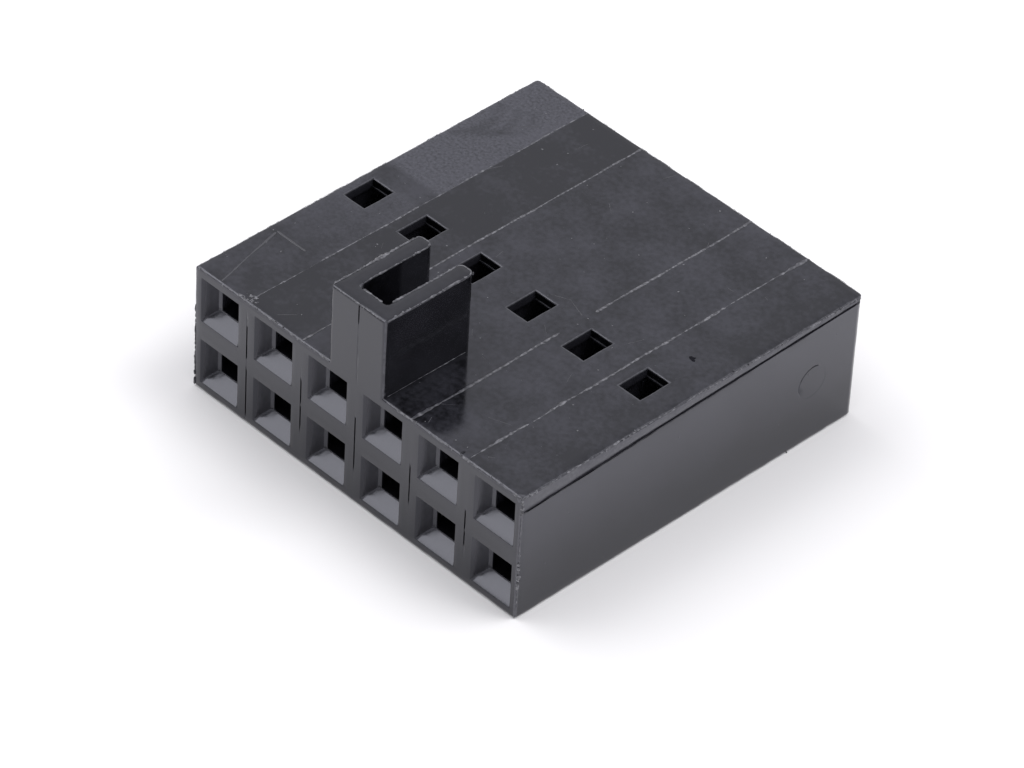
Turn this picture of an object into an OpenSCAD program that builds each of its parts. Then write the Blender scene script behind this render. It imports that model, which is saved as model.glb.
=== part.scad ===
// Dual-row crimp housing for a pin grid, moulded in one piece, with no terminals in it.
// The mating face looks along -Y, the wires enter from +Y, and the base lies on Z = 0.

/* [Grid] */
// Distance between neighbouring columns, and between the two rows
pitch = 2.54; // [2.4:0.01:4]
// Number of columns in each row
columns = 6; // [2:1:20]

/* [Body] */
// Length of the body from the mating face to the wire side
body_l = 15.25; // [11:0.05:25]
// Wall outside the first and the last column
side_wall = 0.275; // [0.25:0.005:1]
// Wall over the upper cavities and under the lower ones
deck_wall = 0.37; // [0.3:0.01:1]
// Radius of the body's outer edges around its top and its base
edge_r = 0.12; // [0.04:0.01:0.13]
// Radius of the body's two upright edges at the mating face
front_corner_r = 0.15; // [0.14:0.01:0.27]
// Radius of the body's two upright edges on the wire side
back_corner_r = 0.25; // [0.14:0.01:0.27]

/* [Cavities] */
// Width of a terminal cavity
cavity_w = 1.85; // [1.4:0.01:2.1]
// Height of a terminal cavity
cavity_h = 1.72; // [1.4:0.01:2.1]
// Wall between the mating face and the cavities
front_wall = 1.1; // [0.8:0.05:2.5]
// Chamfer around each cavity's mouth on the wire side
entry_chamfer = 0.08; // [0.02:0.01:0.1]

/* [Lead-ins] */
// Side of the square mouth of a lead-in at the mating face
lead_w = 1.8; // [1.3:0.01:2.1]
// Depth of a lead-in
lead_l = 0.52; // [0.2:0.01:0.7]
// Width of the hole that a post passes through
post_hole_w = 0.95; // [0.7:0.05:1.1]
// Height of the hole that a post passes through
post_hole_h = 1; // [0.7:0.05:1.1]
// Ledge left on both sides of the hole at the bottom of the lead-in
side_ledge = 0.13; // [0.02:0.01:0.15]
// Ledge left over and under the hole
deck_ledge = 0.04; // [0.02:0.01:0.15]

/* [Lock windows] */
// Width of a window, across the columns
window_w = 0.94; // [0.4:0.01:1.1]
// Length of a window, along the cavity
window_l = 1.27; // [0.6:0.01:3]
// Distance from the mating face to a window's near edge
window_start = 6.1; // [4:0.05:7]
// Offset of a window from the middle of its column
window_shift = 0.3; // [-0.35:0.01:0.35]

/* [Polarising key] */
// Width of the key
key_w = 2.5; // [2.2:0.05:5]
// Length of the key from the mating face
key_l = 3.8; // [2:0.05:5.5]
// Height of the key over the body
key_h = 3.1; // [1:0.05:5]
// Thickness of each of the key's two arms
key_arm = 0.62; // [0.45:0.01:0.85]
// Thickness of the key's wall at the mating face
key_front = 0.65; // [0.4:0.01:1.2]
// Radius of the corners at the arms' free ends
key_end_r = 0.22; // [0.05:0.01:0.22]
// Radius of the two upright corners at the key's front
key_corner_r = 0.12; // [0.04:0.01:0.2]
// Radius of the two upright corners in the slot
slot_corner_r = 0.2; // [0.04:0.01:0.24]

/* [Mould marks] */
// Width of the upright seams left by the mould's inserts
seam_w = 0.06; // [0.03:0.01:0.12]
// Width of the seam along the side
side_seam_w = 0.09; // [0.03:0.01:0.12]
// Depth of the seams
seam_d = 0.05; // [0.02:0.01:0.1]
// Length over which a seam between two columns shows on the mating face
seam_l = 2.2; // [1:0.1:4.4]
// Distance from the top to the side seam, at the mating face
side_seam_front = 0.55; // [0.3:0.01:1.5]
// Distance from the top to the side seam, on the wire side
side_seam_back = 0.22; // [0.2:0.01:1.5]
// Radius of the ejector mark on the side
mark_r = 0.62; // [0.3:0.01:1.2]
// Depth of the ejector mark
mark_d = 0.03; // [0.01:0.01:0.1]
// Distance from the wire side to the middle of the ejector mark
mark_inset = 2.15; // [1.4:0.05:6]

/* [Hidden] */

// Outer size that follows from the grid, the cavities and the walls
body_w = (columns - 1) * pitch + cavity_w + 2 * side_wall;
body_h = pitch + cavity_h + 2 * deck_wall;

// Reference planes of the body, which is drawn about its own middle
front_y = -body_l / 2;
back_y = body_l / 2;
right_x = body_w / 2;
top_z = body_h / 2;
row_z = pitch / 2;
first_x = -(columns - 1) * pitch / 2;

// Opening at the bottom of a lead-in
lead_end_w = post_hole_w + 2 * side_ledge;
lead_end_h = post_hole_h + 2 * deck_ledge;
key_slot_w = key_w - 2 * key_arm;

// Overshoot of a cut past the face that it opens
cut = 0.5;

// Segments of the round edges, and of the wide wheels that cut the seams
$fn = 48;
wheel_fn = 720;

// Rectangle about the origin, with round corners
module round_rect(w, l, r) {
    square([w - 2 * r, l], center = true);
    square([w, l - 2 * r], center = true);
    for (x = [-1, 1], y = [-1, 1])
        translate([x * (w / 2 - r), y * (l / 2 - r)])
            circle(r);
}

// Block about the origin, with front_r and back_r on its upright edges and r on the other eight.
// Two plans, each too long at its far end, leave the front corners to one and the back ones to the other.
module round_block(w, l, h, front_r, back_r, r) {
    intersection() {
        translate([0, cut / 2, 0])
            linear_extrude(h, center = true)
                round_rect(w, l + cut, front_r);
        translate([0, -cut / 2, 0])
            linear_extrude(h, center = true)
                round_rect(w, l + cut, back_r);
        rotate([90, 0, 0])
            linear_extrude(l, center = true)
                round_rect(w, h, r);
        rotate([90, 0, 90])
            linear_extrude(w, center = true)
                round_rect(l, h, r);
    }
}

// Four-sided taper along +Y, from w by h at y = 0 to end_w by end_h at y = l.
// Its slopes run on past y = 0, so that it cuts a face cleanly.
module taper(w, h, end_w, end_h, l) {
    mouth_w = w + (w - end_w) * cut / l;
    mouth_h = h + (h - end_h) * cut / l;
    intersection() {
        linear_extrude(mouth_h, center = true)
            trapezium(mouth_w, end_w, l);
        rotate([0, 90, 0])
            linear_extrude(mouth_w, center = true)
                trapezium(mouth_h, end_h, l);
    }
}

// Outline of a taper, from the overshoot to the narrow end
module trapezium(mouth, end, l) {
    polygon([[-mouth / 2, -cut], [mouth / 2, -cut], [end / 2, l], [-end / 2, l]]);
}

// One way through the body: lead-in, post hole, terminal cavity, wire mouth and lock window
module way() {
    translate([0, front_y, 0])
        taper(lead_w, lead_w, lead_end_w, lead_end_h, lead_l);
    translate([-post_hole_w / 2, front_y, -post_hole_h / 2])
        cube([post_hole_w, front_wall + cut, post_hole_h]);
    translate([-cavity_w / 2, front_y + front_wall, -cavity_h / 2])
        cube([cavity_w, body_l - front_wall + cut, cavity_h]);
    translate([0, back_y, 0])
        rotate([0, 0, 180])
            taper(cavity_w + 2 * entry_chamfer, cavity_h + 2 * entry_chamfer, cavity_w, cavity_h, entry_chamfer);
    translate([-window_shift - window_w / 2, front_y + window_start, 0])
        cube([window_w, window_l, cavity_h / 2 + deck_wall + cut]);
}

// Both rows of ways. The lower row is the upper one turned half round, as its terminals are.
module ways() {
    for (turn = [0, 180])
        rotate([0, turn, 0])
            for (column = [0 : columns - 1])
                translate([first_x + column * pitch, 0, row_z])
                    way();
}

// Plan of the key: two arms on a front wall, open towards the wires
module key_plan() {
    difference() {
        translate([0, key_l / 2])
            round_rect(key_w, key_l, key_corner_r);
        translate([0, key_front + key_l / 2])
            round_rect(key_slot_w, key_l, slot_corner_r);
        arm_ends();
    }
}

// Waste at the free ends of the arms, which leaves their corners round
module arm_ends() {
    for (side = [-1, 1])
        translate([side * (key_slot_w + key_arm) / 2, key_l - key_end_r])
            difference() {
                translate([-key_arm / 2 - cut, 0])
                    square([key_arm + 2 * cut, key_end_r + cut]);
                square([key_arm - 2 * key_end_r, 2 * key_end_r], center = true);
                for (corner = [-1, 1])
                    translate([corner * (key_arm / 2 - key_end_r), 0])
                        circle(key_end_r);
            }
}

// Polarising key. Its foot reaches down past the body's round front edge, so that the faces run on flush.
module key() {
    translate([0, front_y, top_z - edge_r])
        linear_extrude(key_h + edge_r)
            key_plan();
}

// Upright seam on the mating face, deepest in the middle of its length l and running out at both ends.
// It is the cut of a thin wheel that dips into the face.
module insert_seam(l) {
    wheel_r = (l * l / 4 + seam_d * seam_d) / (2 * seam_d);
    translate([-seam_w / 2, front_y + seam_d - wheel_r, 0])
        rotate([0, 90, 0])
            cylinder(h = seam_w, r = wheel_r, $fn = wheel_fn);
}

// Seams of the mould's inserts: one between each two columns, and one down the key from its top
module insert_seams() {
    for (column = [1 : columns - 1])
        translate([first_x + (column - 1 / 2) * pitch, 0, 0])
            insert_seam(seam_l);
    translate([0, 0, top_z + key_h])
        insert_seam(2 * key_h);
}

// Seam along the right side, which falls from the wire side to the mating face
module side_seam() {
    slope = (side_seam_front - side_seam_back) / body_l;
    front_z = top_z - side_seam_front - slope * cut;
    back_z = top_z - side_seam_back + slope * cut;
    translate([right_x - seam_d, 0, 0])
        rotate([90, 0, 90])
            linear_extrude(seam_d + cut)
                polygon([
                    [front_y - cut, front_z - side_seam_w / 2],
                    [back_y + cut, back_z - side_seam_w / 2],
                    [back_y + cut, back_z + side_seam_w / 2],
                    [front_y - cut, front_z + side_seam_w / 2]
                ]);
}

// Shallow round mark of an ejector pin on the right side
module ejector_mark() {
    translate([right_x - mark_d, back_y - mark_inset, 0])
        rotate([0, 90, 0])
            cylinder(h = mark_d + cut, r = mark_r);
}

// The whole moulding
module housing() {
    color("#33343a")
        translate([0, 0, top_z])
            difference() {
                union() {
                    round_block(body_w, body_l, body_h, front_corner_r, back_corner_r, edge_r);
                    key();
                }
                ways();
                insert_seams();
                side_seam();
                ejector_mark();
            }
}

housing();
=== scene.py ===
import math

import bpy
import numpy as np
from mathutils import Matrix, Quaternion, Vector


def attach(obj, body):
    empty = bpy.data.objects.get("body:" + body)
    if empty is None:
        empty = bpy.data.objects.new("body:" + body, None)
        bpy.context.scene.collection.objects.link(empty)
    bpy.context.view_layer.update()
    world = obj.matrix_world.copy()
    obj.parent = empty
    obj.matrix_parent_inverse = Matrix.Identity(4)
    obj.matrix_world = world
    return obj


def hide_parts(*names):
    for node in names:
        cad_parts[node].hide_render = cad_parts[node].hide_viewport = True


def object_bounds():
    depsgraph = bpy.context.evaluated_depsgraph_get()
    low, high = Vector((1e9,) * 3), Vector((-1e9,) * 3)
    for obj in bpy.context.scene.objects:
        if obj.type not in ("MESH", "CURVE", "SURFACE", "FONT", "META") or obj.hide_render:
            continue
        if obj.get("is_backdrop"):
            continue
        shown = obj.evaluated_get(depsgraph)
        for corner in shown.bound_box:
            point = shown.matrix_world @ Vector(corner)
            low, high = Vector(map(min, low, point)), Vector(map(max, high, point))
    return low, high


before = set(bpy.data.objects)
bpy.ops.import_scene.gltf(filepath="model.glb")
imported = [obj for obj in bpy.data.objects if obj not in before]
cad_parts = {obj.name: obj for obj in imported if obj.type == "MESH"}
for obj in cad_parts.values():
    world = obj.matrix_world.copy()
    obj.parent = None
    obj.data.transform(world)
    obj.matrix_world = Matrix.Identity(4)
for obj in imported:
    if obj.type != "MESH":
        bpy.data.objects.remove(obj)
cad_low, cad_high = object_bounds()

# Housing: the body with its two rows of six ways and the upright key, moulded in one shot of black polyester.
# Steel cores form the lead-ins from the front and the cavities from the back, with thin walls between them.
# Every length in this file is in millimetres until a mesh is made.
MM = 0.001
skin = 0.012  # room that the moulding leaves inside the frame's box for its own flash and burrs
near = 1e-3  # places closer than this are one
pitch = 2.54
columns, rows = 6, 2
face_y = cad_low.y / MM
half_w = cad_high.x / MM - skin
front, back = face_y + skin, cad_high.y / MM - skin
body_h = 5.0
key_top = cad_high.z / MM - skin

mouth_half, mouth_l = 0.9, 0.52
hole_half_w, hole_half_h = 0.475, 0.5
lead_half_w, lead_half_h = 0.605, 0.54
cavity_half_w, cavity_half_h, cavity_start = 0.925, 0.86, 1.1
chamfer = 0.08
window_w, window_shift = 0.94, 0.3
window_start, window_end, window_step = 6.1, 7.37, 0.025
key_half, slot_half = 1.25, 0.63
key_l, key_front = 3.8, 0.65

edge_r, lip_r, front_corner_r, corner_r = 0.12, 0.07, 0.06, 0.25
key_end_r, key_corner_r, slot_corner_r, key_rim_r = 0.21, 0.11, 0.19, 0.06
rim_r, mouth_r, crease_r, ledge_r = 0.035, 0.012, 0.008, 0.01
# The first grid lines beside the outer edges, under the lower mouths, and by the key's rim, foot and free end
clear_of_edge, clear_of_corner, under_mouth_z = 0.155, 0.27, 0.24
clear_of_rim, clear_of_foot, clear_of_end = 0.1, 0.15, 0.25
cell_w, cell_l, cell_h = 0.2, 0.22, 0.25  # about the widest spacing of grid lines across, along and up

axes_x = (np.arange(columns) - (columns - 1) / 2) * pitch
axes_z = body_h / 2 + (np.arange(rows) - (rows - 1) / 2) * pitch

# Upright seams on the mating face, between the steel cores: x, then the ends of the stretch that shows
seam_x = np.array([-5.05, -2.48, 0.05, 2.59, 5.11])
seam_low = np.array([0.1, 1.2, 1.2, 1.5, 1.3])
seam_high = np.array([4.4, 3.6, 3.6, 3.3, 3.0])
seam_half, seam_d, seam_margin = 0.024, 0.07, 0.05
wall_half = 0.004  # half the run of a seam's steep wall


def across_seam(half, margin):
    """Grid lines across a seam: on each side one at the margin, and one on each side of the steep wall."""
    side = np.array([-margin, -half - wall_half, wall_half - half])
    return np.concatenate([side, -side[::-1]])


seam_lines = across_seam(seam_half, seam_margin)
# Seam along the right side: distance under the top at the mating face and on the wire side. Its grid lines
# are level at first, and slope with it later. Below it the side stands back by one step.
side_seam, level_seam = np.array([0.55, 0.22]), 0.225
side_seam_line = body_h - level_seam
side_half, side_step, side_margin = 0.055, 0.035, 0.08
side_lines = across_seam(side_half, side_margin)
ledge_top = side_seam_line + side_lines[0]
# Its width as a share of the usual one at four places along it, and how uneven that is
side_stops, side_shares = np.array([front, front + 2, 0, back]), np.array([1.75, 1.65, 1.4, 1.2])
side_uneven, side_wave, side_calm = 0.05, 0.7, 0.3
# Ejector mark on the right side: middle, and radii of its rings from the outside in. From the third ring in
# it is sunk, and that ring is a groove over part of its turn, given as bearings in degrees and shares.
mark_inset, mark_d, mark_groove_d = 2.15, 0.006, 0.05
mark = np.array([cad_high.y / MM - mark_inset, body_h / 2])
mark_r = np.array([0.66, 0.645, 0.61, 0.585, 0.4, 0.2])
groove_ring = 2
groove_bearing, groove_share = [62, 80, 130, 195, 225], [0, 1, 0.8, 0.4, 0]
mark_block = 0.85  # half the side of the square of flat quads that the rings stand in for


def lines(stops, step):
    """Grid lines through every stop, with each stretch between two stops divided evenly into about a step."""
    stops = np.unique(np.round(stops, 4))
    pieces = np.maximum(1, np.round(np.diff(stops) / step)).astype(int)
    fills = [np.linspace(a, b, n, endpoint=False) for a, b, n in zip(stops[:-1], stops[1:], pieces)]
    return np.concatenate([*fills, stops[-1:]])


window_edge = window_w / 2 + window_shift
way_stops = np.array([window_edge - 2 * window_shift, hole_half_w, window_edge, mouth_half])
way_stops = np.concatenate([-way_stops, way_stops])
x_lines = lines(np.concatenate([
    np.add.outer(axes_x, way_stops).ravel(),
    np.add.outer(seam_x, seam_lines).ravel(),
    [-key_half, -slot_half, slot_half, key_half],
    [-half_w, half_w],
]), cell_w)
y_lines = lines(np.concatenate([
    [front, front + clear_of_corner, back - clear_of_corner, back],
    face_y + np.array([mouth_l, key_front, cavity_start]),
    face_y + np.array([window_start, window_end - window_step, window_end]),
    front + key_l + np.array([-clear_of_end, 0, clear_of_end]),
]), cell_l)
z_lines = lines(np.concatenate([
    np.add.outer(axes_z, [-mouth_half, -hole_half_h, hole_half_h, mouth_half]).ravel(),
    side_seam_line + side_lines,
    [0, clear_of_edge, body_h - ledge_top, body_h, body_h + clear_of_foot, key_top - clear_of_rim, key_top],
]), cell_h)


def from_axis(places, axes):
    """Signed distance of each place from the nearest of the axes, which are one pitch apart."""
    return (places - axes[0] + pitch / 2) % pitch - pitch / 2


# A cell of the grid is solid where the moulding is
grid = [x_lines, y_lines, z_lines]
cell_x, cell_y, cell_z = np.meshgrid(*[(g[1:] + g[:-1]) / 2 for g in grid], indexing="ij", sparse=True)
depth = cell_y - face_y
way_x, way_z = from_axis(cell_x, axes_x), from_axis(cell_z, axes_z)
in_body = cell_z < body_h
in_square = (abs(way_x) < mouth_half) & (abs(way_z) < mouth_half)
in_hole = (abs(way_x) < hole_half_w) & (abs(way_z) < hole_half_h)
way = in_square & ((depth < mouth_l) | (depth > cavity_start)) | in_hole & (depth < cavity_start)
window_y = (depth > window_start) & (depth < window_end)
upper_window = (cell_z > axes_z[1]) & (abs(way_x + window_shift) < window_w / 2)
lower_window = (cell_z < axes_z[0]) & (abs(way_x - window_shift) < window_w / 2)
from_middle = abs(cell_z - body_h / 2)
on_ledge = (from_middle < ledge_top - body_h / 2) & (from_middle > pitch / 2 + mouth_half)
on_ledge = on_ledge & (depth > window_end - window_step)
window = window_y & (upper_window | lower_window) & ~on_ledge
key = (cell_z > body_h) & (abs(cell_x) < key_half) & (depth < key_l)
slot = (abs(cell_x) < slot_half) & (depth > key_front)
solid = in_body & ~(way | window) | key & ~slot


def skin_of(solid, grid):
    """The quads between solid and empty cells of a grid. Along each axis a step in the solid is one quad,
    whose corners run round the way out: the cell's own corner, then steps along the next two axes."""
    shape = np.array(solid.shape) + 1
    quads, directions = [], []
    for axis in range(3):
        pad = [(1, 1) if a == axis else (0, 0) for a in range(3)]
        step = np.diff(np.pad(solid, pad).astype(int), axis=axis)
        corner = np.stack(np.nonzero(step), axis=1)
        one, two = np.eye(3, dtype=int)[[(axis + 1) % 3, (axis + 2) % 3]]
        ring = np.stack([corner, corner + one, corner + one + two, corner + two], axis=1)
        starts = step[tuple(corner.T)] > 0
        ring[starts] = ring[starts][:, ::-1]
        quads.append(np.ravel_multi_index(tuple(np.moveaxis(ring, 2, 0)), shape))
        directions.append(np.full(len(corner), axis))
    used, quads = np.unique(np.concatenate(quads), return_inverse=True)
    points = np.stack([g[i] for g, i in zip(grid, np.unravel_index(used, shape))], axis=1)
    return points, quads.reshape(-1, 4), np.concatenate(directions)


points, quads, directions = skin_of(solid, grid)

# Around the ejector mark the flat quads give way to rings, from the outline of their block in to the middle
low, high = np.array([axis[abs(axis - at) < mark_block][[0, -1]] for axis, at in zip(grid[1:], mark)]).T
centre = points[quads].mean(1)
in_block = (centre[:, 0] > half_w - near) & ((centre[:, 1:] > low) & (centre[:, 1:] < high)).all(1)
outline = np.unique(quads[in_block])
at_border = np.minimum(abs(points[outline, 1:] - low), abs(points[outline, 1:] - high)).min(1) < near
outline = outline[at_border]
ray = points[outline, 1:] - mark
turn = np.argsort(np.arctan2(ray[:, 1], ray[:, 0]))
outline, ray = outline[turn], ray[turn] / np.linalg.norm(ray[turn], axis=1, keepdims=True)
ring_yz = mark + mark_r[:, None, None] * ray
bearing = np.degrees(np.arctan2(ray[:, 1], ray[:, 0])) % 360
groove_d = mark_groove_d * np.interp(bearing, groove_bearing, groove_share)
ring = np.arange(len(mark_r))[:, None]
ring_d = mark_d * (ring >= groove_ring) + groove_d * (ring == groove_ring)
ring_points = np.concatenate([half_w - ring_d[..., None], ring_yz], axis=2).reshape(-1, 3)
rings = np.vstack([outline, len(points) + np.arange(len(ring_points)).reshape(len(mark_r), -1)])
after = np.roll(rings, -1, axis=1)
ring_quads = np.stack([rings[:-1], after[:-1], after[1:], rings[1:]], axis=-1).reshape(-1, 4)
middle = np.full(len(outline) // 2, len(points) + len(ring_points))
fan = np.stack([rings[-1, ::2], after[-1, ::2], np.roll(rings[-1], -2)[::2], middle], axis=-1)
points = np.vstack([points, ring_points, [[half_w - mark_d, *mark]]])
quads = np.vstack([quads[~in_block], ring_quads, fan])
directions = np.concatenate([directions[~in_block], np.zeros(len(ring_quads) + len(fan), int)])
used, quads = np.unique(quads, return_inverse=True)
points, quads = points[used], quads.reshape(-1, 4)

# The ways narrow and widen along their length: lead-in, ledge, hole, cavity and the wire side's chamfer
depth = points[:, 1] - face_y
way_x, way_z = from_axis(points[:, 0], axes_x), from_axis(points[:, 2], axes_z)
in_way = (np.maximum(abs(way_x), abs(way_z)) < mouth_half + near) & (points[:, 2] < body_h - near)
in_lead = in_way & (depth < mouth_l + near)
in_cavity = in_way & (depth > cavity_start - near)
at_mouth = in_way & (points[:, 1] > back - near)
outermost = abs(points[:, 0]) > axes_x[-1] + mouth_half - near
on_wire_side = (points[:, 1] > back - near) & ~in_way
over_mouths = on_wire_side & (points[:, 2] > axes_z[1] + mouth_half) & (points[:, 2] < side_seam_line)
under_mouths = on_wire_side & (points[:, 2] < axes_z[0] - mouth_half) & (points[:, 2] > clear_of_edge + near)
points[over_mouths, 2] = side_seam_line + (points[over_mouths, 2] - ledge_top) / 2
points[under_mouths, 2] = under_mouth_z
for axis, offset, hole_half, lead_half, cavity_half in (
    (0, way_x, hole_half_w, lead_half_w, cavity_half_w),
    (2, way_z, hole_half_h, lead_half_h, cavity_half_h),
):
    size = abs(offset)
    wall = mouth_half - (mouth_half - lead_half) * np.clip(depth / mouth_l, 0, 1)
    past_hole = np.maximum(size - hole_half, 0) / (mouth_half - hole_half)
    led = np.where(size > hole_half, hole_half + past_hole * (wall - hole_half), size)
    at_wall = size > mouth_half - near
    size = np.where(in_lead, led, size)
    size = np.where(in_cavity & at_wall, cavity_half, size)
    size = np.where(at_mouth & at_wall & ~(outermost & (axis == 0)), cavity_half + chamfer, size)
    points[:, axis] += np.sign(offset) * (size - abs(offset))
before_mouth = in_cavity & (abs(points[:, 1] - (back - clear_of_corner)) < near)
points[before_mouth, 1] = back - chamfer

# On the key the grid lines draw away from the corners of the arms and of the slot, to make room to round them
spread_from = [0, 0.5, slot_half, 0.795, 1.1, key_half]
spread_to = [0, 0.42, slot_half, 0.87, 1.01, key_half]
spread_start = 0.3
plan_x, plan_y = abs(points[:, 0]), points[:, 1] - front
at_foot = (abs(points[:, 2] - body_h) < near) & (plan_y > key_front - 2 * skin) & (plan_y < key_l + near)
on_key = (plan_x < key_half + near) & (plan_y < key_l + near) & ((points[:, 2] > body_h + near) | at_foot)
moved = on_key & (plan_y > spread_start)
points[moved, 0] = (np.sign(points[:, 0]) * np.interp(plan_x, spread_from, spread_to))[moved]


def ripple(points, wavelength, seed, waves=24):
    """Smooth random field of about unit spread: a sum of plane waves of about one wavelength, each with its
    own seeded direction and phase."""
    draw = np.random.default_rng(seed)
    direction = draw.normal(size=(waves, 3))
    direction /= np.linalg.norm(direction, axis=1, keepdims=True)
    pace = 2 * np.pi / (wavelength * draw.uniform(0.7, 1.4, waves))
    phase = draw.uniform(0, 2 * np.pi, waves)
    return np.sin(points @ (direction * pace[:, None]).T + phase).sum(1) * np.sqrt(2 / waves)


def side_seam_at(y):
    """Height of the side seam's middle at y, which falls evenly to the mating face, and its width there as a
    share: widest at the mating face, with a ripple that dies away before both ends."""
    calm = np.clip((np.minimum(y - front, back - y) - clear_of_corner) / side_calm, 0, 1)
    share = np.interp(y, side_stops, side_shares)
    share = share * (1 + side_uneven * calm * ripple(y[:, None] * [0, 1, 0], side_wave, 3))
    return body_h - np.interp(y, [front, back], side_seam), share


# The grid lines of the side seam slope and spread with it, and those below it follow down to one height
follow_from = 3.4
seam_z, seam_share = side_seam_at(points[:, 1])
seam_band = side_seam_line + side_lines[[0, -1]]
follow = np.interp(points[:, 2], [follow_from, *seam_band, body_h], [0, 1, 1, 0])
from_seam = points[:, 2] - side_seam_line
in_band = abs(from_seam) < side_lines[-1] + near
on_right = points[:, 0] > half_w - near
points[on_right, 2] += (follow * (seam_z - side_seam_line) + in_band * from_seam * (seam_share - 1))[on_right]


def mesh_object(name, points, faces):
    """An object at the origin whose mesh has these points, given in millimetres, and these faces."""
    mesh = bpy.data.meshes.new(name)
    mesh.from_pydata((points * MM).tolist(), [], faces.tolist())
    made = bpy.data.objects.new(name, mesh)
    bpy.context.scene.collection.objects.link(made)
    return made


def read(items, field, width, kind=float):
    """A field of every vertex, edge or corner of a mesh as one array with that many columns."""
    values = np.zeros(len(items) * width, kind)
    items.foreach_get(field, values)
    return values.reshape(-1, width) if width > 1 else values


housing = mesh_object("housing", points, quads)

# An edge is sharp where its two faces look along different axes, and gets the rounding of its place
mesh = housing.data
corner_edges = read(mesh.loops, "edge_index", 1, np.int32)
corner_axes = np.repeat(directions, 4)
lowest, highest = np.full(len(mesh.edges), 3), np.full(len(mesh.edges), -1)
np.minimum.at(lowest, corner_edges, corner_axes)
np.maximum.at(highest, corner_edges, corner_axes)
sharp = lowest != highest
ends = points[read(mesh.edges, "vertices", 2, np.int32)]
middle, span = ends.mean(1), abs(ends[:, 1] - ends[:, 0])
upright, along_y = span[:, 2] > span[:, :2].max(1), span[:, 1] > span[:, [0, 2]].max(1)
mid_x, mid_y, mid_z = abs(middle[:, 0]), middle[:, 1] - face_y, middle[:, 2]
on_side = mid_x > half_w - near
on_front, on_back = middle[:, 1] < front + near, middle[:, 1] > back - near
on_top, on_base = abs(mid_z - body_h) < near, mid_z < near
outer = on_side.astype(int) + (on_front | on_back) + (on_top | on_base) >= 2
above = mid_z > body_h + near
in_windows = (mid_y > window_start - near) & (mid_y < window_end + near)
over_ledge = abs(mid_z - body_h / 2) > ledge_top - body_h / 2 + near
beside_corner = on_back & upright & (mid_x > axes_x[-1])
rounding = np.zeros(len(mesh.edges))
for place, radius in (
    (on_front, mouth_r),
    (on_back & ~beside_corner, rim_r),
    ((mid_y < mouth_l + near) & ~on_front, ledge_r),
    ((mid_y < mouth_l - near) & along_y, crease_r),
    (on_top & (mid_y < key_l + near), 0),
    ((on_top | on_base) & in_windows, rim_r),
    (upright & in_windows & over_ledge, ledge_r),
    (above & upright & (mid_y < key_front - near), key_corner_r),
    (above & upright & (abs(mid_y - key_front) < near), slot_corner_r),
    (above & upright & (mid_y > key_front + near), key_end_r),
    (mid_z > key_top - near, key_rim_r),
    (outer, edge_r),
    (outer & on_top & (on_front | (middle[:, 0] > half_w - near)), lip_r),
    (outer & upright & on_front, front_corner_r),
    (outer & upright & on_back, corner_r),
):
    rounding[place & sharp] = radius
weights = mesh.attributes.new("bevel_weight_edge", "FLOAT", "EDGE")
weights.data.foreach_set("value", rounding / corner_r)
bevel = housing.modifiers.new("rounding", "BEVEL")
bevel.limit_method = "WEIGHT"
bevel.width = corner_r * MM
bevel.segments = 3
bevel.use_clamp_overlap = False


def settle(piece):
    """Puts a piece's modifiers into its mesh, so that arrays can work on the result."""
    graph = bpy.context.evaluated_depsgraph_get()
    piece.data = bpy.data.meshes.new_from_object(piece.evaluated_get(graph))
    piece.modifiers.clear()


settle(housing)

# Places on the rounded housing. Where its corner turns to the mating face, the side seam's lines climb back
# to their level place.
mesh = housing.data
points = read(mesh.vertices, "co", 3) / MM
normals = read(mesh.vertices, "normal", 3)
x, y, z = points.T  # views, which follow the points as these are moved below
key_y = y - front
way_x, way_z = from_axis(x, axes_x), from_axis(z, axes_z)
seam_z, seam_share = side_seam_at(y)
climb = (side_seam_line - body_h + side_seam[0]) / (half_w - axes_x[-1] - mouth_half)
turned = np.arcsin(np.clip(1 - key_y / front_corner_r, 0, 1)) / (np.pi / 2)
seam_z += turned * front_corner_r * climb
flush, reach = 0.02, 0.03  # how far from a face a point still counts as in it, and as close to it
square = 0.9  # the part of a normal along an axis from which a point faces along it

# How worn a point is, with painted light in the same pale flecks: fully on the outer edges and on the rims of
# the key and windows; fully in the side seam, whose groove is painted pale to lighten its shade; nearly so on
# the band above the side seam, part wear and part painted sheen on its rounded lip, and on the key's front
# corners; and on the flash ledge at the back of each window, part wear and part painted highlight on its edge
edge_reach, edge_fade = 0.16, 0.1
band_sheen_and_wear, corner_wear, corner_reach = 0.9, 0.85, 0.1
rim_reach, rim_fade = 0.08, 0.05
beyond = 9  # a distance past every reach
ledge_reach, side_clear, window_margin = 0.1, 0.2, 0.04
to_faces = [half_w - abs(x), np.minimum(key_y, back - y), np.minimum(z, abs(body_h - z))]
wear_and_sheen = np.clip((edge_reach - np.sort(to_faces, axis=0)[1]) / edge_fade, 0, 1) * (z < body_h + near)
wear_and_sheen[(abs(x) < key_half) & (key_y < flush) & (z > body_h / 2)] = 0
# Painted sheen with some real wear: the band above the side seam is paled as its rounded lip catching light
wear_and_sheen[(x > half_w - flush) & (z > seam_z)] = band_sheen_and_wear
# Painted light: the side seam's groove is painted pale to lighten the shade in it
wear_and_sheen[(x > half_w - flush) & (abs(z - seam_z) < side_half * seam_share)] = 1
to_walls = np.minimum.reduce([abs(abs(x) - key_half), key_y, abs(key_l - key_y)])
to_slot = np.minimum(abs(abs(x) - slot_half) + beyond * (key_y < key_front - flush),
                     abs(key_y - key_front) + beyond * (abs(x) > slot_half + flush))
rim = np.clip((rim_reach - np.minimum(to_walls, to_slot)) / rim_fade, 0, 1) * (z > key_top - key_rim_r)
at_corner = (z > body_h) & (np.maximum(abs(abs(x) - key_half), key_y) < corner_reach)
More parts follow.
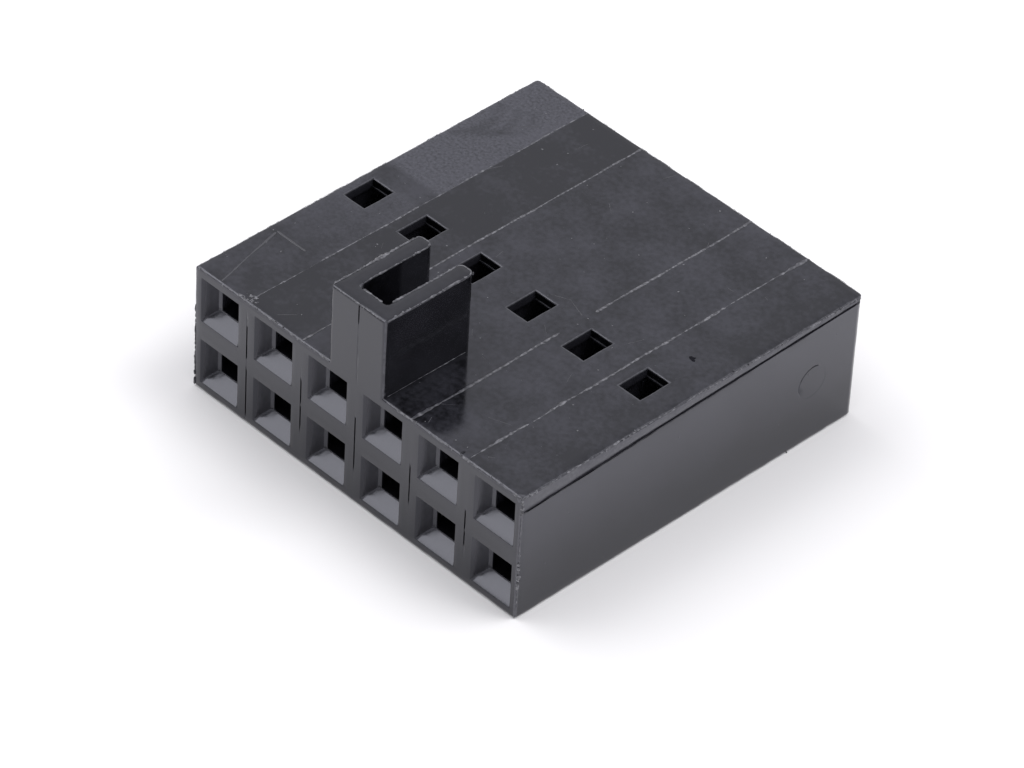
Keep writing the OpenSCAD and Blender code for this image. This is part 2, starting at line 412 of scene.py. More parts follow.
# The flash ledge at the back of each window: part wear, part painted highlight on its edge
ledge = (abs(z - ledge_top) < flush) & (abs(key_y - window_end) < ledge_reach)
ledge = ledge & (abs(x) < half_w - side_clear)
from_window = abs(key_y + skin - (window_start + window_end) / 2) - (window_end - window_start) / 2
window_rim = (from_window < window_margin) & (abs(z - body_h) < window_margin)
window_rim = window_rim & (abs(way_x + window_shift) < window_w / 2 + window_margin)
wear_and_sheen = np.maximum.reduce([wear_and_sheen, rim, corner_wear * at_corner, ledge, window_rim])

# The top is duller in the strip left of the first witness line, most of all towards the wires, and was rubbed
# there in three places: middle, half length along and bend to the left
strip_stops, strip_satin = [-4.6, -2.7, -0.1, 0.0, 0.75, 0.85], [0.05, 0.3, 0.45, 0.1, 0.1, 1.0]
rubs = ((-6.75, 4.5, 1.1, 0.5), (-6.2, 4.9, 0.9, 0.4), (-5.75, 5.3, 0.8, 0.45))
rub_half, rub_share = 0.16, 0.6
satin = (abs(z - body_h) < flush) & (x < seam_x[0])
satin = satin * np.interp(y, strip_stops, strip_satin)
for rub_x, rub_y, length, bend in rubs:
    past = np.clip((y - rub_y) / length, -1, 1)
    off = np.hypot(x - rub_x + bend * past**2, (y - rub_y) - length * past)
    satin *= 1 - rub_share * np.exp(-(off / rub_half) ** 2)

# The top is what hands and tools touch, so it is the most mottled, and each strip between two witness lines
# has the haze of its own steel block. The right side is painted paler towards the top, a painted reflection
# of the brighter floor further from it, and the mating face has no haze.
strip_edges, strip_haze = [-5.06, -2.5, 2.56, 5.09], np.array([0.35, 0.0, 0.4, 0.45, 0.3])
plain_haze, plain_handled = 0.2, 0.3
side_sheen_z, side_sheen = [1, 4], [0, 0.8]
on_deck = (abs(z - body_h) < flush) & (normals[:, 2] > square)
handled = np.where(on_deck, 1.0, plain_handled)
haze_and_sheen = np.where(on_deck, strip_haze[np.searchsorted(strip_edges, x)], plain_haze)
# Painted reflection: the right side's tint is lifted more the higher it is
haze_and_sheen = np.where((normals[:, 0] > square) & (z < body_h), np.interp(z, side_sheen_z, side_sheen), haze_and_sheen)
haze_and_sheen = np.where(normals[:, 1] < -square, 0, haze_and_sheen)

# Inside the lead-ins the plastic has the duller, streaked finish of ground steel, half as much on the flanks
past_ledge = 0.05
in_mouth = np.maximum(abs(way_x), abs(way_z)) < mouth_half - flush
cored = (in_mouth & (key_y < mouth_l + past_ledge) & (z < body_h)).astype(float)
flank = cored * (abs(normals[:, 0]) > 0.5)
cored = cored * (1 - flank / 2)

# Every outer edge is a little uneven, the lip over the side seam most of all, and the ledge at the bottom of
# a lead-in falls towards the post hole
edge_dent, edge_wave, lip_dent, lip_wave = 0.006, 0.8, 0.03, 0.5
lip_reach, lip_fade = 0.2, 0.15
ledge_fall = 0.04
on_lip = np.clip((x - half_w + lip_reach) / lip_fade, 0, 1)
on_lip = on_lip * np.clip((z - body_h + lip_reach) / lip_fade, 0, 1)
dents = edge_dent * np.clip(1 + ripple(points, edge_wave, 1), 0, 2)
dents += lip_dent * on_lip * np.clip(ripple(points, lip_wave, 4), 0, 2)
points -= normals * (wear_and_sheen * dents)[:, None]
at_ledge = in_mouth & (abs(y - face_y - mouth_l) < reach)
to_hole = np.clip((lead_half_w - abs(way_x)) / (lead_half_w - hole_half_w), 0, 1)
points[:, 1] += at_ledge * ledge_fall * to_hole

# Seams are grooves with steep walls that run out at their ends, and the key's is deepest near its top
seam_level, seam_uneven, seam_wave, run_out = 0.7, 0.4, 0.7, 0.4
key_seam_z, key_seam_share = [body_h, 6.4, 7.0, 7.4], [0.1, 0.2, 0.3, 0.8]
on_face = (key_y < reach) & (z > edge_r)
broken = seam_level + seam_uneven * ripple(points, seam_wave, 2)
for seam, low, high in zip(seam_x, seam_low, seam_high):
    run = np.clip(np.minimum(z - low, high - z) / run_out, 0, 1)
    points[:, 1] += on_face * (abs(x - seam) < seam_half) * seam_d * np.clip(run * broken, 0, 1)
key_run = np.interp(z, key_seam_z, key_seam_share)
in_key_seam = on_face * (z > body_h) * (abs(x - seam_x[2]) < seam_half)
points[:, 1] += in_key_seam * seam_d * np.clip(key_run * broken, 0, 1)

# The side seam's floor slopes towards the mating face, and the side steps back below it
side_d, floor_rise = 0.1, 0.018
step_reach, step_fade = 0.25, 0.2
seam_reach = side_half * seam_share
on_side = (x > half_w - side_clear) & ((x > half_w - reach) | (abs(y) > back - corner_r))
in_seam = on_side & (abs(z - seam_z) < seam_reach)
facing = np.interp(normals[:, 0], [0.3, square], [0, 1])
slope = np.clip((z - seam_z) / seam_reach, -1, 1)
sloped = np.interp(y, [front, 0], [1, 0])
groove = in_seam * facing * (side_d - floor_rise * sloped * (1 - slope))
set_back = side_step * np.clip((x - half_w + step_reach) / step_fade, 0, 1) * (z < seam_z - seam_reach)
points[:, 0] -= groove + set_back

sharp_angle = 38
for name, values in (("wear_and_sheen", wear_and_sheen), ("satin", satin), ("handled", handled), ("haze_and_sheen", haze_and_sheen),
                     ("cored", cored), ("flank", flank)):
    mesh.attributes.new(name, "FLOAT", "POINT").data.foreach_set("value", values)
mesh.vertices.foreach_set("co", (points * MM).ravel())
mesh.update()
mesh.polygons.foreach_set("use_smooth", np.ones(len(mesh.polygons), bool))
mesh.set_sharp_from_angle(angle=math.radians(sharp_angle))
flat = housing.modifiers.new("flat_faces", "WEIGHTED_NORMAL")
flat.keep_sharp = True


def linear(code):
    """Linear red, green, blue and alpha of an sRGB hex code, by the two pieces of the sRGB curve."""
    channels = np.array([int(code[i:i + 2], 16) for i in (1, 3, 5)]) / 255
    curve = np.where(channels <= 0.04045, channels / 12.92, ((channels + 0.055) / 1.055) ** 2.4)
    return (*curve.tolist(), 1.0)


def add_node(tree, kind, settings=None, **sockets):
    """Adds one node. Settings are its own properties, and each socket takes a constant or another output."""
    made = tree.nodes.new(kind)
    for name, value in (settings or {}).items():
        setattr(made, name, value)
    for name, value in sockets.items():
        numbered = name[0] == "i" and name[1:].isdigit()
        socket = made.inputs[int(name[1:]) if numbered else name.replace("_", " ")]
        if isinstance(value, bpy.types.NodeSocket):
            tree.links.new(value, socket)
        else:
            socket.default_value = value
    return made


def new_material(name):
    """A material with an empty node tree that holds only its output."""
    made = bpy.data.materials.new(name)
    made.use_nodes = True
    made.node_tree.nodes.clear()
    return made, made.node_tree, made.node_tree.nodes.new("ShaderNodeOutputMaterial")


def place_in_mm(tree):
    """Object coordinates in millimetres, so that a pattern's scale is one over its real size."""
    place = add_node(tree, "ShaderNodeTexCoord").outputs["Object"]
    return add_node(tree, "ShaderNodeMapping", Vector=place, Scale=(1 / MM,) * 3).outputs["Vector"]


# Black polyester, moulded against polished steel: near black in itself, with a gloss that carries the room.
# Wiping has left it mottled in clouds and speckles, and it is pale and flecked where it is worn; the same
# flecks are painted light in the side seam, on the band above it and on the window ledges, and a painted
# sheen lifts the right side towards its top. The grit of the steel is finer than this in truth, and is drawn
# as coarse as it needs to show.
cloud_size, speckle_size, grit_size = 1.6, 0.18, 0.1
streak_size, streak_turn = (0.07, 0.5, 0.3), 0.6
grain_depth = 0.004
polyester_ior = 1.7
polyester, tree, output = new_material("moulded_black_polyester")
wear_and_sheen, satin, handled, haze_and_sheen, cored, flank = (
    add_node(tree, "ShaderNodeAttribute", {"attribute_name": name}).outputs["Fac"]
    for name in ("wear_and_sheen", "satin", "handled", "haze_and_sheen", "cored", "flank"))
mm_place = place_in_mm(tree)
clouds = add_node(tree, "ShaderNodeTexNoise", Vector=mm_place, Scale=1 / cloud_size, Detail=5.0,
                  Roughness=0.6)
speckle = add_node(tree, "ShaderNodeTexNoise", Vector=mm_place, Scale=1 / speckle_size, Detail=2.0)
grit = add_node(tree, "ShaderNodeTexNoise", Vector=mm_place, Scale=1 / grit_size, Detail=3.0).outputs["Fac"]
both = add_node(tree, "ShaderNodeMath", {"operation": "MULTIPLY_ADD"}, i0=speckle.outputs["Fac"], i1=0.6,
                i2=clouds.outputs["Fac"])
patchy = add_node(tree, "ShaderNodeMapRange", Value=both.outputs[0], i1=0.6, i2=1.0, i3=-0.45, i4=0.45)
# Haze lifts the tint: a steel block's own haze on the top, and a painted sheen up the right side
mottle = add_node(tree, "ShaderNodeMath", {"operation": "MULTIPLY_ADD", "use_clamp": True},
                  i0=patchy.outputs["Result"], i1=handled, i2=haze_and_sheen).outputs[0]
tint = add_node(tree, "ShaderNodeMix", {"data_type": "RGBA"}, Factor=mottle, i6=linear("#040405"),
                i7=linear("#2c2c32"))
ground_place = add_node(tree, "ShaderNodeMapping", Vector=mm_place, Rotation=(0, 0, streak_turn),
                        Scale=tuple(1 / size for size in streak_size))
ground = add_node(tree, "ShaderNodeTexNoise", Vector=ground_place.outputs["Vector"], Scale=1.0, Detail=3.0)
streaked = add_node(tree, "ShaderNodeMapRange", Value=ground.outputs["Fac"], i1=0.35, i2=0.7)
streaks = add_node(tree, "ShaderNodeMath", {"operation": "MULTIPLY"}, i0=streaked.outputs["Result"], i1=cored)
tint = add_node(tree, "ShaderNodeMix", {"data_type": "RGBA"}, Factor=streaks.outputs[0], i6=tint.outputs[2],
                i7=linear("#26262b"))
grainy = add_node(tree, "ShaderNodeMapRange", Value=grit, i1=0.3, i2=0.7, i3=0.25, i4=1.0)
dull = add_node(tree, "ShaderNodeMath", {"operation": "MULTIPLY"}, i0=grainy.outputs["Result"], i1=satin)
tint = add_node(tree, "ShaderNodeMix", {"data_type": "RGBA"}, Factor=dull.outputs[0], i6=tint.outputs[2],
                i7=linear("#45454c"))
shaken = add_node(tree, "ShaderNodeMath", {"operation": "MULTIPLY_ADD"}, i0=speckle.outputs["Fac"], i1=0.25,
                  i2=wear_and_sheen).outputs[0]
# Real wear, and painted light in the side seam, on the band above it and on the window ledges
worn_and_sheened = add_node(tree, "ShaderNodeMapRange", Value=shaken, i1=0.93, i2=1.0).outputs["Result"]
flecked = add_node(tree, "ShaderNodeMapRange", Value=grit, i1=0.42, i2=0.66, i3=0.5, i4=1.0)
paled = add_node(tree, "ShaderNodeMath", {"operation": "MULTIPLY"}, i0=flecked.outputs["Result"], i1=worn_and_sheened)
tint = add_node(tree, "ShaderNodeMix", {"data_type": "RGBA"}, Factor=paled.outputs[0], i6=tint.outputs[2],
                i7=linear("#454549"))
rough = add_node(tree, "ShaderNodeMapRange", Value=mottle, i3=0.1, i4=0.16).outputs["Result"]
marked = add_node(tree, "ShaderNodeMath", {"operation": "MAXIMUM"}, i0=wear_and_sheen, i1=satin).outputs[0]
for duller, share in ((marked, 0.15), (cored, 0.06), (flank, 0.3)):
    rough = add_node(tree, "ShaderNodeMath", {"operation": "MULTIPLY_ADD"}, i0=duller, i1=share,
                     i2=rough).outputs[0]
grain = add_node(tree, "ShaderNodeBump", Height=grit, Strength=0.12, Distance=grain_depth * MM)
surface = add_node(tree, "ShaderNodeBsdfPrincipled", Base_Color=tint.outputs[2], Roughness=rough,
                   Normal=grain.outputs["Normal"], IOR=polyester_ior, Specular_Tint=linear("#f1f2ff"))
tree.links.new(surface.outputs[0], output.inputs["Surface"])
housing.data.materials.append(polyester)
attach(housing, "root")
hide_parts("housing")

# Witness lines: the low ragged ridges on the top where the mould's steel blocks meet, from front to back, and
# along the foot of the key. The plastic that was squeezed into those joints is torn and paler than the rest,
# and the third line has a gap where it broke off.
line_h, foot_h, line_rough = 0.008, 0.012, 0.25
line_inset = 0.06
line_from, line_to = front + line_inset, back - line_inset
foot_from, foot_to = front + 0.15, front + key_l - 0.2
gap_from, gap_to = face_y + 6.5, face_y + 8.05
# Place across, start and end along, width, level, and the fine and coarse ripple of that level
line_rows = (
    (-5.07, line_from, line_to, 0.08, 0.55, 0.3, 0.3),
    (-2.52, line_from, line_to, 0.085, 1.0, 0.15, 0.15),
    (2.54, line_from, gap_from, 0.095, 0.95, 0.15, 0.2),
    (2.54, gap_to, line_to, 0.095, 0.95, 0.15, 0.2),
    (5.07, line_from, line_to, 0.105, 0.8, 0.25, 0.25),
)
upward = np.array([0.0, 0.0, 1.0])


def ragged_line(path, up, width, height, seed, rough, level, fine, coarse):
    """A thin ridge carried along a path: an ellipse of six points, half sunk in the surface and capped.
    Its size is the level with a fine and a coarse seeded ripple along the path, and a low level shows only in
    places. Rough is the wavelength of the fine ripple."""
    thinnest, thickest, run_in = 0.04, 3.0, 0.05
    run = np.concatenate([[0], np.cumsum(np.linalg.norm(np.diff(path, axis=0), axis=1))])
    size = level + fine * ripple(path, rough, seed) + coarse * ripple(path, 6 * rough, seed + 1)
    size = np.clip(size, thinnest, thickest) * np.clip(np.minimum(run, run[-1] - run) / run_in, 0.02, 1)
    drift = 0.1 * width * ripple(path, 8 * rough, seed + 2)
    side = np.cross(np.gradient(path, axis=0), up)
    side /= np.linalg.norm(side, axis=1, keepdims=True)
    turn = np.arange(6) * np.pi / 3
    across = size[:, None] * width / 2 * np.cos(turn) + drift[:, None]
    rise = size[:, None] * height * np.sin(turn)
    rings = path[:, None] + across[..., None] * side[:, None] + rise[..., None] * np.asarray(up, float)
    count = len(path)
    ring, corner = np.meshgrid(np.arange(count - 1), np.arange(6), indexing="ij")
    after = (corner + 1) % 6
    here, ahead = ring * 6, (ring + 1) * 6
    sides = np.stack([here + corner, here + after, ahead + after, ahead + corner], axis=-1)
    caps = np.array([[0, 3, 2, 1], [0, 5, 4, 3]])
    caps = np.concatenate([caps, caps[:, ::-1] + 6 * (count - 1)])
    return rings.reshape(-1, 3), np.concatenate([sides.reshape(-1, 4), caps])


def straight(start, end, step):
    """Evenly spaced points from start to end, about one step apart."""
    return np.linspace(start, end, int(math.dist(start, end) / step) + 2)


def joined(name, parts):
    """One object from several pairs of points and faces, cut off flat where it would leave the frame."""
    offsets = np.cumsum([0] + [len(p) for p, _ in parts[:-1]])
    points = np.clip(np.concatenate([p for p, _ in parts]), np.array(cad_low) / MM, np.array(cad_high) / MM)
    return mesh_object(name, points, np.concatenate([f + o for (_, f), o in zip(parts, offsets)]))


def finish_piece(piece, material):
    """Smooth faces and a material, and the piece rides on the housing's body."""
    piece.data.polygons.foreach_set("use_smooth", np.ones(len(piece.data.polygons), bool))
    piece.data.materials.append(material)
    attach(piece, "root")


# Torn polyester: the same black plastic, whitened by strain and broken up, so dull and speckled
torn_size = 0.12
torn, tree, output = new_material("torn_black_polyester")
flecks = add_node(tree, "ShaderNodeTexNoise", Vector=place_in_mm(tree), Scale=1 / torn_size, Detail=2.0)
paler = add_node(tree, "ShaderNodeMapRange", Value=flecks.outputs["Fac"], i1=0.42, i2=0.7)
tint = add_node(tree, "ShaderNodeMix", {"data_type": "RGBA"}, Factor=paler.outputs["Result"],
                i6=linear("#3a3a40"), i7=linear("#78787e"))
surface = add_node(tree, "ShaderNodeBsdfPrincipled", Base_Color=tint.outputs[2], Roughness=0.4,
                   IOR=polyester_ior)
tree.links.new(surface.outputs[0], output.inputs["Surface"])

line_step = 0.04
foot_line = straight((key_half, foot_from, body_h), (key_half, foot_to, body_h), line_step)
witness_lines = joined("witness_lines", [
    ragged_line(straight((at, start, body_h), (at, end, body_h), line_step), upward, width, line_h, 10 * i,
                line_rough, level, fine, coarse)
    for i, (at, start, end, width, level, fine, coarse) in enumerate(line_rows)
] + [
    ragged_line(foot_line, upward, width=0.075, height=foot_h, seed=90, rough=line_rough, level=0.6,
                fine=0.12, coarse=0.15),
])
finish_piece(witness_lines, torn)

# Parting flash: threads and crumbs of plastic squeezed out along the body's outer edges and round the top of
# the key, in the corner that the rounding leaves. They are torn and pale like the witness lines, which end in
# lumps and flecks of the same kind.
diagonal = math.sqrt(0.5)
in_r, in_lip, in_corner, in_rim = (r * (1 - diagonal) for r in (edge_r, lip_r, front_corner_r, key_rim_r))
right, left, front_edge, back_edge = half_w - in_lip, in_r - half_w, front + in_lip, back - in_r
top_edge, lip_edge, key_edge = body_h - in_r, body_h - in_lip, key_top - in_rim
far_right, back_right = half_w - front_corner_r, half_w - corner_r
far_front, far_back = front + front_corner_r, back - corner_r
near_post, far_post, post_foot = front + in_corner, half_w - in_corner, 0.3
# On the key's far rims the thread lies on the flat top, half a rounding in, where it shows from the front
half_rim = key_rim_r / 2
key_flat = key_top - 0.1 * key_rim_r
hidden_side, hidden_slot = key_half - half_rim, slot_half + half_rim
hidden_front = front + key_front - half_rim
key_side, slot_side, key_near = key_half - in_rim, slot_half + in_rim, front + in_rim
key_from, key_to = front + key_corner_r, front + key_l - key_end_r
slot_from, slot_end = front + key_front + slot_corner_r, slot_half - slot_corner_r
arm = key_half - key_end_r
rightward, forward = np.array([1.0, 0.0, 0.0]), np.array([0.0, -1.0, 0.0])
front_up, back_up = upward + forward, upward - forward
right_up, left_up, post_out = upward + rightward, upward - rightward, rightward + forward
# Start, end, outward direction, width of the thread, its level, and crumbs to the millimetre with their size
flash_edges = (
    ((-far_right, front_edge, lip_edge), (-key_half, front_edge, lip_edge), front_up, 0.05, 0.3, 9, 0.035),
    ((key_half, front_edge, lip_edge), (far_right, front_edge, lip_edge), front_up, 0.05, 0.3, 10, 0.04),
    ((right, far_front, lip_edge), (right, far_back, lip_edge), right_up, 0.055, 0.5, 4, 0.05),
    ((left, far_front, top_edge), (left, far_back, top_edge), left_up, 0.03, 0.05, 2, 0.022),
    ((-back_right, back_edge, top_edge), (back_right, back_edge, top_edge), back_up, 0.03, 0.1, 2, 0.025),
    ((far_post, near_post, post_foot), (far_post, near_post, lip_edge), post_out, 0.04, 0.05, 8, 0.085),
    ((key_side, key_from, key_edge), (key_side, key_to, key_edge), right_up, 0.055, 0.85, 9, 0.045),
    ((-hidden_side, key_from, key_flat), (-hidden_side, key_to, key_flat), upward, 0.065, 1.15, 6, 0.04),
    ((-arm, key_near, key_edge), (arm, key_near, key_edge), front_up, 0.045, 0.55, 6, 0.035),
    ((-slot_side, slot_from, key_edge), (-slot_side, key_to, key_edge), right_up, 0.055, 0.85, 8, 0.045),
    ((hidden_slot, slot_from, key_flat), (hidden_slot, key_to, key_flat), upward, 0.065, 1.15, 5, 0.035),
    ((-slot_end, hidden_front, key_flat), (slot_end, hidden_front, key_flat), upward, 0.065, 1.1, 5, 0.03),
)


def pebbles(centres, radii, seed):
    """Small lumps: each is the skin of a cube of eight cells blown up to a ball, stretched to its own radii
    and dented by a seeded ripple."""
    ball, faces, _ = skin_of(np.ones((2, 2, 2), bool), [np.array([-1.0, 0.0, 1.0])] * 3)
    ball = ball / np.linalg.norm(ball, axis=1, keepdims=True)
    apart, dent, dent_wave = 5, 0.2, 2.0
    count = np.arange(len(centres))
    sites = (ball + apart * count[:, None, None]).reshape(-1, 3)
    dents = 1 + dent * ripple(sites, dent_wave, seed).reshape(len(count), len(ball), 1)
    lumps = np.asarray(centres)[:, None] + np.asarray(radii)[:, None] * ball * dents
    return lumps.reshape(-1, 3), (faces + len(ball) * count[:, None, None]).reshape(-1, 4)


def crumbs(start, end, up, per_mm, size, seed):
    """Lumps strewn along an edge by a seeded draw: denser where a slow ripple is high, most of them tiny, and
    each a little to one side of the line."""
    clump, stray = 1.2, 0.02
    draw = np.random.default_rng(seed)
    start, step = np.array(start), np.subtract(end, start)
    length = np.linalg.norm(step)
    spots = start + draw.uniform(0, 1, (int(per_mm * length), 1)) * step
    spots = spots[ripple(spots, clump, seed + 1) > draw.normal(0, 1, len(spots))]
    spots += draw.normal(0, stray, (len(spots), 1)) * np.cross(step / length, up)
    radius = size * draw.uniform(0.3, 1, (len(spots), 1)) ** 2
    return pebbles(spots, radius * draw.uniform(0.7, 1.4, (len(spots), 3)), seed + 2)


def arm_end(side):
    """The rim round the free end of one arm: a quarter turn about each of its two round corners."""
    turn = np.linspace(0, np.pi / 2, 9)
    turns = np.concatenate([turn, turn + np.pi / 2])
    corner = np.repeat([arm, slot_half + key_end_r], len(turn))
    rim_end_r = key_end_r - half_rim
    across, along = corner + rim_end_r * np.cos(turns), key_to + rim_end_r * np.sin(turns)
    return np.stack([side * across, along, np.full(len(turns), key_flat)], axis=1)


# Tags that run from the near right corner of the top: how far, and the outward direction
corner_tip = np.array([right, front_edge, lip_edge])
corner_tags = (((-0.4, 0, 0), front_up), ((0, 0.35, 0), right_up), ((0, 0, -0.25), post_out))
# Lumps at the ends of the witness lines and in the third one's gap: middle, then half sizes
line_lumps = np.array([
    (-5.45, front + 0.08, body_h - 0.01, 0.12, 0.06, 0.03),
    (-5.25, front + 0.06, body_h - 0.02, 0.07, 0.06, 0.035),
    (2.5, front + 0.06, body_h - 0.02, 0.05, 0.05, 0.03),
    (2.54, gap_to + 0.1, body_h, 0.05, 0.07, 0.012),
    (2.58, gap_to - 0.85, body_h, 0.035, 0.035, 0.01),
    (2.57, gap_from - 0.78, body_h, 0.06, 0.04, 0.01),
])
# Flecks round the front end of the first witness line
fleck_count, fleck_x, fleck_spread = 24, -5.15, 0.17
draw = np.random.default_rng(12)
fleck_spots = np.column_stack([draw.normal(fleck_x, fleck_spread, fleck_count),
                               front + draw.uniform(0.05, 0.4, fleck_count), np.full(fleck_count, body_h)])
fleck_radii = draw.uniform((0.02, 0.015, 0.006), (0.06, 0.04, 0.014), (fleck_count, 3))
thread_step, thread_rough = 0.03, 0.16
parting_flash = joined("parting_flash", [
    pebbles(line_lumps[:, :3], line_lumps[:, 3:], 11),
    pebbles(fleck_spots, fleck_radii, 13),
] + [
    ragged_line(arm_end(side), upward, width=0.06, height=0.012, seed=550 + side, rough=0.2, level=0.9,
                fine=0.2, coarse=0.2)
    for side in (-1, 1)
] + [
    ragged_line(straight(corner_tip, corner_tip + run, thread_step), diagonal * up, width=0.08, height=0.025,
                seed=560 + i, rough=thread_rough, level=0.8, fine=0.3, coarse=0.25)
    for i, (run, up) in enumerate(corner_tags)
] + [
    part for i, (start, end, up, width, level, per_mm, size) in enumerate(flash_edges)
    for part in (ragged_line(straight(start, end, thread_step), diagonal * up, width, 0.3 * width,
                             100 + 10 * i, thread_rough, level, fine=0.3, coarse=0.4),
                 crumbs(start, end, diagonal * up, per_mm, size, 400 + 10 * i))
])
finish_piece(parting_flash, torn)

# Burrs: larger tags of the black plastic at the ends of the mould's parting edges, left where they broke off.
# Most of them and a ragged thread hang on the near left corner. They were moulded with the housing.
post_x, post_y, post_low, post_high = -far_post, near_post, 0.1, 3.4
# Middle, then half sizes
burr_list = np.array([
    (post_x, post_y, 3.2, 0.035, 0.035, 0.14),
    (post_x, post_y, 2.3, 0.03, 0.03, 0.25),
    (post_x - 0.02, post_y - 0.02, 1.2, 0.055, 0.055, 0.022),
    (post_x, post_y, 1.22, 0.03, 0.03, 0.07),
    (post_x, post_y, 0.55, 0.04, 0.04, 0.1),
    (post_x, post_y, 0.22, 0.05, 0.05, 0.16),
    (key_half - 0.05, front + key_l - 0.06, 8.03, 0.06, 0.07, 0.05),
    (half_w - 0.04, 4.56, 0.03, 0.03, 0.02, 0.03),
    (4.72, front + 0.16, body_h, 0.035, 0.1, 0.03),
])
post_line = straight((post_x, post_y, post_low), (post_x, post_y, post_high), thread_step)
burrs = joined("burrs", [
    pebbles(burr_list[:, :3], burr_list[:, 3:], 6),
    ragged_line(post_line, diagonal * (forward - rightward), width=0.05, height=0.02, seed=300, rough=0.2,
                level=0.6, fine=0.4, coarse=0.3),
])
finish_piece(burrs, polyester)

# Scuffs: faint strokes that tools and neighbours left on the top, the longest of them in the left strip.
# The polyester is ploughed up there, so it is a little paler and less glossy than around them.
clear_half, clear_along = 0.55, 0.1  # half the width that stays clear at a window, and the margin along it


def plain_material(name, colour, roughness, ior):
    """A material with one colour and one gloss all over."""
    made, tree, output = new_material(name)
    surface = add_node(tree, "ShaderNodeBsdfPrincipled", Base_Color=linear(colour), Roughness=roughness,
                       IOR=ior)
    tree.links.new(surface.outputs[0], output.inputs["Surface"])
    return made


scuffed = plain_material("scuffed_black_polyester", "#3a3a40", 0.3, polyester_ior)


def over_opening(spots):
    """Where on the top a spot lies over a lock window or under the key, with a small margin."""
    way, depth = from_axis(spots[..., 0], axes_x), spots[..., 1] - face_y
    along = (depth > window_start - clear_along) & (depth < window_end + clear_along)
    under_key = (abs(spots[..., 0]) < key_half + clear_along) & (depth < key_l + clear_along)
    return along & (abs(way + window_shift) < clear_half) | under_key


# The larger ones by their two ends, across and behind the mating face, and then short ones at random
long_scuffs = np.array([
    [(-7.15, 3.17), (-5.75, 3.15)], [(-7.12, 3.1), (-6.4, 0.12)], [(-6.9, 12.1), (-6.3, 13.3)],
    [(-6.6, 11.9), (-5.9, 12.6)], [(-6.2, 12.7), (-5.5, 13.5)], [(-4.0, 0.3), (-3.55, 0.8)],
    [(0.9, 7.6), (1.6, 7.9)], [(1.5, 7.9), (2.4, 7.6)], [(1.9, 6.4), (2.3, 6.1)], [(4.0, 1.9), (4.8, 2.2)],
]) + (0, face_y)
scuff_count, deep_count = 24, 2
start_half, start_inset, end_half, end_inset = 7.2, 0.3, 7.35, 0.2
scuff_h, scuff_step, scuff_rough = 0.003, 0.05, 0.3
draw = np.random.default_rng(5)
starts = draw.uniform((-start_half, front + start_inset), (start_half, back - start_inset), (scuff_count, 2))
turns = draw.uniform(0, np.pi, scuff_count)
lengths = draw.uniform(0.15, 0.6, scuff_count)
stops = starts + np.stack([np.cos(turns), np.sin(turns)], axis=1) * lengths[:, None]
short_scuffs = np.clip(np.stack([starts, stops], axis=1), (-end_half, front + end_inset),
                       (end_half, back - end_inset))
along = np.linspace(0, 1, 9)[:, None, None]
crossing = over_opening(short_scuffs[:, 0] * (1 - along) + short_scuffs[:, 1] * along).any(0)
all_scuffs = np.concatenate([long_scuffs, short_scuffs[~crossing]])
deep = np.arange(len(all_scuffs)) < deep_count
scuff_widths, scuff_levels = np.where(deep, 0.07, 0.035), np.where(deep, 1.2, 0.7)
scuffs = joined("scuffs", [
    ragged_line(straight((*start, body_h), (*end, body_h), scuff_step), upward, width, scuff_h, 600 + 10 * i,
                scuff_rough, level, fine=0.2, coarse=0.2)
    for i, ((start, end), width, level) in enumerate(zip(all_scuffs, scuff_widths, scuff_levels))
])
finish_piece(scuffs, scuffed)

# Dust: flat grains of pale grit that lie on the top and cling to the right side.
# It settled there by itself, and it is dull and grey.
dusty = plain_material("pale_dust", "#5e5e63", 0.5, polyester_ior)
grain_count, grain_half, grain_inset = 120, 7.3, 0.2
side_grain = (0.012, 0.022, 0.022)
grain_low, grain_high = (-grain_half, front + grain_inset), (grain_half, back - grain_inset)
top_spots = draw.uniform(grain_low, grain_high, (grain_count, 2))
top_spots = top_spots[~over_opening(top_spots)]
top_grains = np.column_stack([top_spots, np.full(len(top_spots), body_h)])
top_radii = draw.uniform((0.02, 0.02, 0.004), (0.05, 0.05, 0.008), (len(top_spots), 3))
top_radii *= draw.uniform(0.4, 1, (len(top_spots), 1)) ** 2
# Grains on the side: distance behind the mating face, and height
side_spots = np.array([
    (2.1, 3.27), (6.95, 3.6), (10.75, 3.6), (14.1, 3.95), (11.65, 1.5), (3.85, 0.4), (5.2, 2.3), (8.6, 1.1),
    (12.9, 2.9), (1.2, 1.7),
]) + (face_y, 0)
side_grains = np.column_stack([np.full(len(side_spots), half_w - side_step), side_spots])
side_radii = np.tile(side_grain, (len(side_grains), 1))
dust = joined("dust", [pebbles(top_grains, top_radii, 7), pebbles(side_grains, side_radii, 8)])
finish_piece(dust, dusty)

# Painted shade: the shade in a small pit on the top, behind the sixth window, drawn as a flat dark patch of
# three overlapping dabs. It is matt and blacker than the plastic round it.
pit_shade_paint = plain_material("painted_pit_shade", "#15151b", 0.9, 1.25)
pit_patch_h = 0.006
# Across, distance behind the mating face, then half sizes
pit_patch = np.array([(6.15, 8.75, 0.1, 0.09), (6.26, 8.72, 0.09, 0.06), (6.2, 8.82, 0.05, 0.06)])
pit_patch_spots = np.column_stack([pit_patch[:, 0], pit_patch[:, 1] + face_y, np.full(len(pit_patch), body_h)])
pit_patch_radii = np.column_stack([pit_patch[:, 2:], np.full(len(pit_patch), pit_patch_h)])
pit_shade = joined("pit_shade", [pebbles(pit_patch_spots, pit_patch_radii, 9)])
finish_piece(pit_shade, pit_shade_paint)

